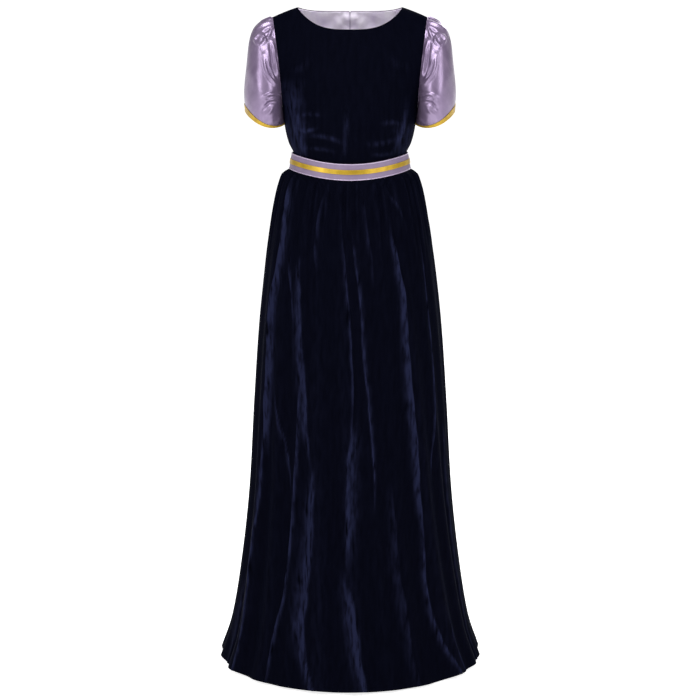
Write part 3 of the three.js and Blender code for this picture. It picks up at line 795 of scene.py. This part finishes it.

# %% The ridges on the folds
# the way down as (level, degrees), half width and height in millimetres, the strength of the sheen painted
# along it, and the steep side: 1 where the fold breaks off towards the wearer's left, -1 towards the right
SKIRT_RIDGES = [
    ([(345, -60), (420, -57), (490, -56), (610, -60), (730, -59), (840, -58), (960, -57)],
     11, 5.0, 1.0, -1),
    ([(900, -58), (1040, -58), (1140, -60), (1260, -60), (1375, -59), (1439, -59)], 6, 4.0, 0.8, 1),
    ([(800, -51), (880, -44), (940, -38), (1040, -33)], 4, 2.5, 0.7, 1),
    ([(480, -47), (540, -45), (600, -41), (670, -38)], 3, 2.0, 0.6, -1),
    ([(500, -36), (620, -33), (710, -30), (770, -28), (900, -24), (970, -21)], 10, 4.0, 0.8, 1),
    ([(960, -20), (1100, -20), (1180, -21), (1260, -22), (1330, -23), (1400, -19), (1439, -15)],
     14, 5.0, 0.95, 1),
    ([(780, -31), (960, -32), (1040, -33), (1150, -34), (1250, -36), (1330, -39), (1439, -39)],
     4, 3.0, 0.7, -1),
    ([(430, -6), (560, -2), (700, 1), (800, 2), (880, 1)], 3, 2.5, 0.6, 1),
    ([(850, 1), (960, -1), (1090, -2), (1190, -1)], 12, 4.0, 0.7, -1),
    ([(1180, -3), (1250, 1), (1310, 3), (1370, 4), (1439, 7)], 13, 5.0, 0.9, 1),
    ([(450, 1), (600, 6), (730, 8), (850, 11), (960, 13), (1060, 13)], 4, 3.0, 0.7, -1),
    ([(440, 31), (530, 34), (600, 37), (710, 37), (830, 39), (960, 41), (1050, 42), (1140, 43)],
     7, 4.0, 1.0, 1),
    ([(1100, 43), (1240, 43), (1310, 45), (1375, 49), (1439, 54)], 5, 3.5, 0.75, 1),
    ([(480, 60), (620, 59), (730, 60), (830, 59), (900, 57), (960, 54), (1020, 52)], 3, 2.5, 0.7, 1),
    ([(350, 30), (375, 34), (415, 42), (460, 46)], 3, 2.0, 0.5, 1),
    ([(350, -20), (400, -24), (480, -25), (560, -22)], 4, 2.0, 0.3, -1),
    ([(350, 10), (420, 12), (500, 15), (580, 16)], 4, 2.0, 0.3, 1),
    ([(1300, 53), (1380, 55), (1439, 58)], 9, 3.0, 0.5, -1),
    ([(1000, 24), (1180, 26), (1320, 29), (1439, 31)], 10, 3.0, 0.25, 1),
    ([(1240, -74), (1340, -74), (1439, -72)], 12, 3.0, 0.4, 1),
    ([(880, 70), (1080, 72), (1280, 75), (1439, 77)], 8, 3.0, 0.35, -1),
    ([(400, 98), (600, 101), (900, 107), (1200, 112), (1439, 114)], 9, 5.0, 0.8, 1),
    ([(380, 121), (600, 124), (820, 122), (1000, 125)], 4, 3.0, 0.7, -1),
    ([(940, 127), (1140, 130), (1300, 131), (1439, 134)], 12, 5.0, 0.9, 1),
    ([(420, 138), (640, 142), (900, 140), (1180, 146)], 4, 3.0, 0.6, 1),
    ([(560, 156), (820, 159), (1120, 163), (1439, 166)], 10, 5.0, 0.9, -1),
    ([(600, 187), (860, 185), (1140, 183), (1439, 186)], 5, 3.5, 0.6, 1),
    ([(400, 203), (640, 201), (900, 204), (1050, 201)], 8, 4.5, 0.9, -1),
    ([(1000, 200), (1180, 198), (1300, 195), (1439, 196)], 13, 5.0, 0.8, 1),
    ([(430, 221), (700, 217), (980, 219), (1240, 214)], 4, 3.0, 0.6, 1),
    ([(380, 240), (600, 236), (860, 238), (1140, 233), (1439, 229)], 9, 4.5, 0.8, -1),
    ([(440, 258), (700, 256), (980, 252), (1439, 247)], 8, 4.0, 0.6, 1),
]


# %% The skirt's large shape
def turns_apart(degrees, centre):
    return np.mod(degrees - centre + 180, 360) - 180


def skirt_surface(degrees, level):
    dip_share = 1 - smoothstep(level, BAND_BOTTOM, DIP_GONE_LEVEL)
    return ring_point(SKIRT_GIRTH, np.radians(degrees), level, dip_share)


def hanging_folds(degrees, level):
    """The large folds. Part of each stands soon below the band, and the rest grows towards the hem."""
    fall = np.clip((level - BAND_BOTTOM) / (HEM_LEVEL - BAND_BOTTOM), 0, 1)
    growth = 0.72 * smoothstep(level, 380, 1300) + 0.28 * smoothstep(level, 350, 620)
    total = 0.0
    for waist, hem, width, height in SKIRT_FOLDS:
        away = turns_apart(degrees, lerp(waist, hem, fall))
        mean = width * math.sqrt(math.pi) / 360
        total = total + height * (np.exp(-((away / width) ** 2)) - mean)
    return total * growth


def gathers(degrees, level):
    """Small uneven gathers right under the band."""
    angle = np.radians(degrees)
    end = 560 + 60 * np.sin(7 * angle)
    fade = smoothstep(level, BAND_BOTTOM, 350) * (1 - smoothstep(level, 358, end))
    wander = 38 * angle + 1.5 * np.sin(5 * angle + 1) + 1.1 * np.sin(13 * angle)
    return fade * (2.2 * np.cos(wander) + 1.2 * np.cos(1.7 * wander + 2))


# %% One ridge
def ridge(degrees, level, row, spread=1.0, steep_share=0.35):
    """How much of one ridge stands at each place, at most 1. Its steep side is narrower by steep_share."""
    way, width, _, _, steep = row
    slope = spread * width
    first, last = way[0][0], way[-1][0]
    radius = curve(SKIRT_GIRTH, 1)(level)
    centre_line = curve(way, 1)(np.clip(level, first, last))
    wobble = 0.11 * width * (np.sin(level / 31 + first) + 0.8 * np.sin(level / 12.7 + last))
    away = steep * (np.radians(turns_apart(degrees, centre_line)) * radius + wobble)
    swell = 0.55 + 0.6 * np.sin(np.pi * np.clip((level - first) / (last - first), 0, 1)) ** 0.8
    share = np.where(away > 0, away / (steep_share * slope), away / slope) / swell
    starts = smoothstep(level, first - 10, first + 70)
    ends = 1.0 if last >= HEM_LEVEL else 1 - smoothstep(level, last - 90, last + 10)
    return np.exp(-(share**2)) * starts * ends


# %% The skirt's relief and its painted sheen
TAKEN_IN = 1.0
SHEEN_SPREAD = 1.35
SHEEN_STEEP_SHARE = 0.16


def skirt_relief(degrees, level, points):
    """All that lifts the velvet of the skirt, which is taken in a little further down."""
    ridges = sum(row[2] * ridge(degrees, level, row) for row in SKIRT_RIDGES)
    taken_in = TAKEN_IN * smoothstep(level, 340, 500)
    return hanging_folds(degrees, level) + gathers(degrees, level) + ridges - taken_in


def skirt_painted_sheen(degrees, level, points):
    """Painted sheen on the ridges, a little wider than they stand, and weaker on folds and gathers."""
    bright = 0.0
    for row in SKIRT_RIDGES:
        bright = bright + row[3] * ridge(degrees, level, row, SHEEN_SPREAD, SHEEN_STEEP_SHARE)
    # weaker painted sheen on the crests of the large folds and of the gathers
    folds = np.clip(hanging_folds(degrees, level) / 24, 0, 1)
    small = np.clip(gathers(degrees, level) / 6, 0, 1)
    return np.clip(bright + 0.12 * folds + 0.14 * small, 0, 1)


# %% Make the skirt
SKIRT_TOP = 336.2
SKIRT_ZIP_END = 540
ZIP_PARTING = 1.2
PARTING_WIDTH = 0.8
FINE_ROWS_END = 620
HALF_FRONT_COLUMNS = 188
# name, first and last degree from the centre front, half fronts wide, and the side its zip edge moves to
SKIRT_PANELS = (("front", -90, 90, 2, 0), ("back_left", 90, 180, 1, 1), ("back_right", 180, 270, 1, -1))


def panel_surface(side):
    """The skirt's surface, parted along the centre back as far down as the zip reaches."""

    def at(degrees, level):
        away = np.abs(turns_apart(degrees, 180))
        beside_zip = 1 - smoothstep(level, SKIRT_ZIP_END - 10, SKIRT_ZIP_END + 8)
        parted = ZIP_PARTING * np.exp(-away / PARTING_WIDTH) * beside_zip
        return skirt_surface(degrees, level) + stack(side * parted, 0, 0)

    return at


lower_rows = spaced(HEM_LEVEL, FINE_ROWS_END, 84)
skirt_rows = np.concatenate([lower_rows, spaced(FINE_ROWS_END, SKIRT_TOP, 44)[1:]])
skirt = {}
for panel, start, end, halves, side in SKIRT_PANELS:
    columns = spaced(start, end, HALF_FRONT_COLUMNS * halves)
    skirt[panel] = cloth(f"velvet_skirt_{panel}", panel_surface(side), columns, skirt_rows, VELVET,
                         relief=skirt_relief, painted_sheen=skirt_painted_sheen)

# %% [markdown]
# ## The zips
# Each half closes at the centre back with a coil zip. A narrow tape lies behind the cloth, and the coil
# shows as a fine row of bars in the slit between the panels. The slider and its pull come from the frame.

# %% Small bars in a row
TAPE = 0.8
BAR_SIDES = 6


def bar_faces():
    """The faces of one spindle, whose points are a tip, two rings and the other tip."""
    sides = [(k, (k + 1) % BAR_SIDES) for k in range(BAR_SIDES)]
    ring, next_ring, tip = 1, 1 + BAR_SIDES, 1 + 2 * BAR_SIDES
    first = [(0, ring + after, ring + k) for k, after in sides]
    middle = [(ring + k, ring + after, next_ring + after, next_ring + k) for k, after in sides]
    last = [(tip, next_ring + k, next_ring + after) for k, after in sides]
    return first + middle + last


def bars(name, path, outward, spacing, length, radius, across=False):
    """A row of small spindles along a path: stitches, or the coil of a zip when they lie across it."""
    run = np.concatenate([[0], np.cumsum(np.linalg.norm(np.diff(path, axis=0), axis=-1))])
    at = np.arange(spacing / 2, run[-1], spacing)
    place = np.stack([np.interp(at, run, path[:, k]) for k in range(3)], axis=-1)
    facing = np.stack([np.interp(at, run, outward[:, k]) for k in range(3)], axis=-1)
    along, out, side = frames_along(place, facing)
    axis, flank = (side, along) if across else (along, side)
    ring = place[:, None] + circles(out, flank, BAR_SIDES) * radius
    ends = [place + axis * length * share for share in (-0.5, 0.5)]
    rings = [ring + axis[:, None] * length * share for share in (-0.25, 0.25)]
    points = np.concatenate([ends[0][:, None], rings[0], rings[1], ends[1][:, None]], axis=1)
    first_points = range(0, points.shape[0] * points.shape[1], points.shape[1])
    faces = [tuple(first + corner for corner in face) for first in first_points for face in bar_faces()]
    made = mesh_object(name, points, faces)
    settle(made)
    print(name, len(place), "bars")
    return made


# %% Tapes and coils
TOP_TAPE_REACH = 0.042
SKIRT_TAPE_REACH = 2.5
COIL_DEPTH = 1.1
COIL = {"spacing": 1.6, "length": 2.6, "radius": 0.5, "across": True}
ON_SKIRT = BAND_BOTTOM + 0.1


def centre_back(ups):
    """The line down the middle of the top's back, with its outward directions."""
    centre = np.zeros_like(ups)
    return back_face(centre, ups), normals_of(back_face, centre, ups, -1, 1)


def skirt_zip_surface(degrees, level):
    on_band = (level < ON_SKIRT)[..., None]
    return np.where(on_band, band_surface(degrees, level), skirt_surface(degrees, level))


def skirt_zip_relief(degrees, level, points):
    return skirt_relief(degrees, level, points) * (level > ON_SKIRT)


top_tape = cloth("top_zip_tape_cloth", back_face, spaced(TOP_TAPE_REACH, -TOP_TAPE_REACH, 8), LINING_ROWS,
                 TAPE, -BACKING_DEPTH)
skirt_tape = cloth("skirt_zip_tape_cloth", skirt_zip_surface,
                   spaced(180 - SKIRT_TAPE_REACH, 180 + SKIRT_TAPE_REACH, 8),
                   spaced(SKIRT_ZIP_END, BAND_TOP, 60), TAPE, -BACKING_DEPTH, relief=skirt_zip_relief)

top_line, top_out = centre_back(spaced(-0.98, 0.99, 200))
top_coil = bars("top_zip_coil", top_line - top_out * COIL_DEPTH, top_out, **COIL)
levels = spaced(SKIRT_ZIP_END - 4, BAND_TOP + 2, 160)
middle = np.full_like(levels, 180.0)
skirt_line = skirt_zip_surface(middle, levels)
skirt_out = normals_of(skirt_zip_surface, middle, levels, 1, -1)
lifted = skirt_zip_relief(middle, levels, None)[:, None] - COIL_DEPTH
skirt_coil = bars("skirt_zip_coil", skirt_line + skirt_out * lifted, skirt_out, **COIL)

# %% [markdown]
# ## The stitching
# The ribbons are sewn down along both edges with a fine gold thread. Each stitch is a small spindle that
# lies on the ribbon, a few millimetres long, with a short space before the next.

# %% Stitches
STITCH = {"spacing": 3.4, "length": 2.5, "radius": 0.26}
STITCH_INSET = 1.2
RIBBON_FACE = RIBBON + SEAM_GAP
ribbon_stitches = []
for edge, level in (("top", RIBBON_TOP + STITCH_INSET), ("bottom", RIBBON_BOTTOM - STITCH_INSET)):
    for panel, start, end, halves in PANELS:
        degrees = spaced(start, end, 120 * halves)
        levels = np.full_like(degrees, level)
        out = normals_of(band_surface, degrees, levels, 1, -1)
        lift = RIBBON_FACE + band_relief(degrees, levels, None)[:, None]
        path = band_surface(degrees, levels) + out * lift
        ribbon_stitches.append(bars(f"stripe_stitches_{edge}_{panel}", path, out, **STITCH))
for wearer_side, side in (("left", 1), ("right", -1)):
    surface = sleeve_surface(side)
    degrees = sleeve_angles(side, 300)
    for edge, along in (("hem", 0.993), ("upper", 0.952)):
        places = np.full_like(degrees, along)
        out = normals_of(surface, degrees, places, -side, -1)
        path = surface(degrees, places) + out * RIBBON_FACE
        ribbon_stitches.append(bars(f"cuff_stitches_{edge}_{wearer_side}", path, out, **STITCH))

# %% [markdown]
# The lining's seam down the middle of the back is held by coarser stitches, which show inside the neck.

# %% The lining's seam
SEAM_STITCH = {"spacing": 3.4, "length": 1.9, "radius": 0.6}
SEAM_DEPTH = BACKING_DEPTH + 2.5
seam_line, seam_out = centre_back(spaced(0.7, 0.99, 60))
lining_stitches = bars("lining_seam_stitches", seam_line - seam_out * SEAM_DEPTH, seam_out, **SEAM_STITCH)

# %% [markdown]
# ## The finishes
# Two effects are shared and become node groups. The first is a fine weave of crossed threads, for the
# satins, the ribbon and the tape. The second is a soft drift of tone, long in one direction, as cloth has
# when its pile or its thread catches the light unevenly: in a colour it is a painted, uneven sheen, and on
# the lining it paints broad patches of highlight and shade. Both read the UV map, which is in metres.


# %% Shared groups
def add_node(tree, kind, **settings):
    made = tree.nodes.new(kind)
    for key, value in settings.items():
        setattr(made, key, value)
    return made


def calculate(tree, operation, *values):
    """A Math node: numbers are set on its inputs, and outputs of other nodes are linked to them."""
    made = add_node(tree, "ShaderNodeMath", operation=operation)
    for socket, value in zip(made.inputs, values):
        if isinstance(value, float):
            socket.default_value = value
        else:
            tree.links.new(value, socket)
    return made.outputs[0]


def new_group(name, inputs, outputs):
    group = bpy.data.node_groups.new(name, "ShaderNodeTree")
    for socket, value in inputs:
        made = group.interface.new_socket(socket, in_out="INPUT", socket_type="NodeSocketFloat")
        made.default_value = value
    for socket in outputs:
        group.interface.new_socket(socket, in_out="OUTPUT", socket_type="NodeSocketFloat")
    return group, group.nodes.new("NodeGroupInput"), group.nodes.new("NodeGroupOutput")


def thread_weave():
    """Crossed threads: two sine waves, one along each direction of the cut."""
    group, given, result = new_group("thread weave", [("Threads", 900.0)], ["Height"])
    uv = add_node(group, "ShaderNodeUVMap", uv_map="cut")
    split = add_node(group, "ShaderNodeSeparateXYZ")
    group.links.new(uv.outputs["UV"], split.inputs["Vector"])
    waves = []
    for axis in ("X", "Y"):
        threads = calculate(group, "MULTIPLY", split.outputs[axis], given.outputs["Threads"])
        waves.append(calculate(group, "SINE", calculate(group, "MULTIPLY", threads, 2 * math.pi)))
    height = calculate(group, "MULTIPLY_ADD", calculate(group, "MULTIPLY", *waves), 0.5, 0.5)
    group.links.new(height, result.inputs["Height"])
    return group


def tone_drift():
    """Noise that is stretched along the cut's length."""
    inputs = [("Across", 40.0), ("Along", 6.0), ("Detail", 3.0)]
    group, given, result = new_group("tone drift", inputs, ["Tone"])
    links = group.links
    uv = add_node(group, "ShaderNodeUVMap", uv_map="cut")
    scale = add_node(group, "ShaderNodeCombineXYZ")
    links.new(given.outputs["Across"], scale.inputs["X"])
    links.new(given.outputs["Along"], scale.inputs["Y"])
    stretched = add_node(group, "ShaderNodeVectorMath", operation="MULTIPLY")
    links.new(uv.outputs["UV"], stretched.inputs[0])
    links.new(scale.outputs[0], stretched.inputs[1])
    noise = add_node(group, "ShaderNodeTexNoise")
    noise.inputs["Scale"].default_value = 1.0
    links.new(stretched.outputs[0], noise.inputs["Vector"])
    links.new(given.outputs["Detail"], noise.inputs["Detail"])
    links.new(noise.outputs["Fac"], result.inputs["Tone"])
    return group


WEAVE = thread_weave()
DRIFT = tone_drift()


def place_group(tree, group, **values):
    """A shared group in a material, with the material's own values."""
    made = add_node(tree, "ShaderNodeGroup", node_tree=group)
    for socket, value in values.items():
        made.inputs[socket].default_value = value
    return made


# %% [markdown]
# ## The velvet
# Velvet is almost black where its pile points at the eye, and glows softly where the pile leans away. A
# point attribute holds a sheen painted into the colour, on the ridges and creases and at the sides of the
# top, and the drift breaks it up lengthwise.


# %% The velvet's finish
def ramp_between(tree, factor, stops):
    """Colours that run from the first stop to the last, as the factor rises."""
    ramp = add_node(tree, "ShaderNodeValToRGB")
    elements = ramp.color_ramp.elements
    elements[0].position = stops[0][0]
    elements[1].position = stops[-1][0]
    for position, _ in stops[1:-1]:
        elements.new(position)
    for element, (_, colour) in zip(elements, stops):
        element.color = (*colour, 1)
    tree.links.new(factor, ramp.inputs["Fac"])
    return ramp.outputs["Color"]


def add_bump(tree, shader, height, distance, strength, under=None):
    """Small relief on a shader, over the relief under it where there is one."""
    bump = add_node(tree, "ShaderNodeBump")
    bump.inputs["Distance"].default_value = distance
    bump.inputs["Strength"].default_value = strength
    tree.links.new(height, bump.inputs["Height"])
    if under:
        tree.links.new(under, bump.inputs["Normal"])
    tree.links.new(bump.outputs["Normal"], shader.inputs["Normal"])
    return bump.outputs["Normal"]


# the dark end is the velvet's own navy, and the pale bluish end is a painted sheen
VELVET_TONE_AND_SHEEN_COLOURS = [
    (0.0, (0.0006, 0.0007, 0.0020)),
    (0.3, (0.0030, 0.0034, 0.0092)),
    (1.0, (0.0088, 0.0104, 0.0280)),
]


def make_velvet():
    material, tree, shader = new_finish("navy velvet", Roughness=0.7, IOR=1.08, Specular_IOR_Level=0.1,
                                        Sheen_Weight=0.009, Sheen_Roughness=0.4,
                                        Sheen_Tint=(0.2, 0.28, 0.8, 1))
    painted_sheen = add_node(tree, "ShaderNodeAttribute", attribute_name="painted_sheen")
    drift = place_group(tree, DRIFT, Across=120.0, Along=24.0, Detail=7.0)
    # the drift's tones lie near 0.5, and are spread here from about 0 to 2
    broken = calculate(tree, "MULTIPLY_ADD", drift.outputs["Tone"], 5.2, -1.7)
    # painted sheen: the attribute, broken up lengthwise by the drift, lifts the colour towards the pale
    # end
    sheen_streaks = calculate(tree, "MULTIPLY", painted_sheen.outputs["Fac"], broken)
    tone_and_sheen = calculate(tree, "MULTIPLY_ADD", drift.outputs["Tone"], 0.16, sheen_streaks)
    tree.links.new(ramp_between(tree, tone_and_sheen, VELVET_TONE_AND_SHEEN_COLOURS), shader.inputs["Base Color"])
    pile = place_group(tree, DRIFT, Across=2600.0, Along=1500.0, Detail=2.0)
    add_bump(tree, shader, pile.outputs["Tone"], 0.0004, 0.35)
    return material


VELVET_FINISH = make_velvet()
print(VELVET_FINISH.name, "ready")

# %% [markdown]
# ## The satins and the ribbon
# Satin has long floating threads, so it shines like soft metal and keeps its own colour in the highlight.
# A part of Metallic with a low roughness does that. The ribbon is a coarser weave of gold thread.


# %% Satin, ribbon and tape
def make_satin(name, dark, light, metallic, roughness, threads, crease, gloss=0.5):
    """A woven finish: a drift between two tones, soft creases in the cloth, and its threads."""
    material, tree, shader = new_finish(name, Metallic=metallic, Roughness=roughness,
                                        Specular_IOR_Level=gloss)
    drift = place_group(tree, DRIFT, Across=38.0, Along=20.0, Detail=4.0)
    tree.links.new(ramp_between(tree, drift.outputs["Tone"], [(0.3, dark), (0.7, light)]),
                   shader.inputs["Base Color"])
    soft = place_group(tree, DRIFT, Across=75.0, Along=34.0, Detail=2.0)
    folds = add_bump(tree, shader, soft.outputs["Tone"], crease, 0.5)
    weave = place_group(tree, WEAVE, Threads=threads)
    add_bump(tree, shader, weave.outputs["Height"], 0.0001, 0.25, under=folds)
    return material


# name, dark and light tone, metallic, roughness, threads in a metre, crease height, and gloss
SATIN_FINISH = make_satin("lilac satin", (0.150, 0.105, 0.190), (0.235, 0.175, 0.285), 0.55, 0.28, 2200.0,
                          0.0004, gloss=1.0)
BAND_FINISH = make_satin("lilac band satin", (0.135, 0.098, 0.165), (0.17, 0.126, 0.20), 0.1, 0.5, 2000.0,
                         0.0003)
# on the lining the drift between the two tones paints broad patches of highlight and shade
LINING_FINISH = make_satin("lilac lining", (0.80, 0.72, 0.88), (0.97, 0.93, 1.00), 0.22, 0.28, 1800.0,
                           0.0010)
GOLD_FINISH = make_satin("gold ribbon", (0.27, 0.165, 0.007), (0.48, 0.31, 0.02), 0.5, 0.36, 700.0,
                         0.0004)
TAPE_FINISH = make_satin("zip tape", (0.26, 0.2, 0.33), (0.32, 0.25, 0.39), 0.0, 0.7, 900.0, 0.0003)
print("satins and ribbon ready")

# %% [markdown]
# The rolled edges, the sewing thread, the coils and the zip's metal are too narrow for a weave to show.
# Their tone only varies a little from place to place, by noise on Object coordinates.


# %% Edge, thread, coil and metal
def make_plain(name, scale, dark, light, metallic, roughness):
    """A finish whose colour varies softly between two tones."""
    material, tree, shader = new_finish(name, Metallic=metallic, Roughness=roughness)
    place = add_node(tree, "ShaderNodeTexCoord")
    noise = add_node(tree, "ShaderNodeTexNoise")
    noise.inputs["Scale"].default_value = scale
    tree.links.new(place.outputs["Object"], noise.inputs["Vector"])
    tone = ramp_between(tree, noise.outputs["Fac"], [(0.3, dark), (0.7, light)])
    tree.links.new(tone, shader.inputs["Base Color"])
    return material


# the pale colour of the band's rolled edges is a painted highlight; the neck edge and the lining's
# stitches use this finish too
EDGE_AND_HIGHLIGHT_FINISH = make_plain("pale satin edge and painted highlight", 160.0, (0.34, 0.27, 0.39), (0.42, 0.35, 0.47), 0.2, 0.3)
THREAD_FINISH = make_plain("gold thread", 420.0, (0.52, 0.32, 0.02), (0.74, 0.50, 0.05), 0.3, 0.4)
COIL_FINISH = make_plain("zip coil", 420.0, (0.020, 0.020, 0.040), (0.032, 0.032, 0.060), 0.0, 0.45)
METAL_FINISH = make_plain("zip metal", 300.0, (0.5, 0.5, 0.53), (0.72, 0.71, 0.74), 1.0, 0.24)
print(len(bpy.data.materials), "materials, with those of the frame")

# %% [markdown]
# ## Put on the body
# Each piece gets its finish, rides on the dress, and stands in for the solid of the same panel.


# %% Dress the frame
def dress_piece(piece, finish, slot, *nodes):
    """Gives a piece its finish and body, and hides the solids that it stands for. The slot is not used."""
    piece.data.materials.clear()
    piece.data.materials.append(finish)
    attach(piece, "dress")
    if nodes:
        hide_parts(*nodes)


for panel, piece in top.items():
    dress_piece(piece, VELVET_FINISH, "velvet", f"top_{panel}")
for panel, piece in lining.items():
    dress_piece(piece, LINING_FINISH, "lining", f"lining_{panel}")
for panel, piece in skirt.items():
    dress_piece(piece, VELVET_FINISH, "velvet", f"skirt_{panel}")
for panel, piece in waistbands.items():
    dress_piece(piece, BAND_FINISH, "satin", f"waistband_{panel}")
for panel, piece in band_ribbons.items():
    dress_piece(piece, GOLD_FINISH, "ribbon", f"band_ribbon_{panel}")
for wearer_side in sleeves:
    dress_piece(sleeves[wearer_side], SATIN_FINISH, "satin", f"sleeve_{wearer_side}")
    dress_piece(cuff_ribbons[wearer_side], GOLD_FINISH, "ribbon", f"cuff_ribbon_{wearer_side}")
for piece in band_edges + neck_edges:
    dress_piece(piece, EDGE_AND_HIGHLIGHT_FINISH, "satin")
for piece in ribbon_stitches:
    dress_piece(piece, THREAD_FINISH, "ribbon")
dress_piece(lining_stitches, EDGE_AND_HIGHLIGHT_FINISH, "lining")
dress_piece(top_tape, TAPE_FINISH, "zip_tape", "top_zip_tape")
dress_piece(skirt_tape, TAPE_FINISH, "zip_tape", "skirt_zip_tape")
dress_piece(top_coil, COIL_FINISH, "zip_tape")
dress_piece(skirt_coil, COIL_FINISH, "zip_tape")
for node in ("top_zip_slider", "top_zip_pull", "skirt_zip_slider", "skirt_zip_pull"):
    metal_part = bpy.data.objects[node]
    for material_slot in metal_part.material_slots:
        material_slot.material = METAL_FINISH
print("the frame is dressed")
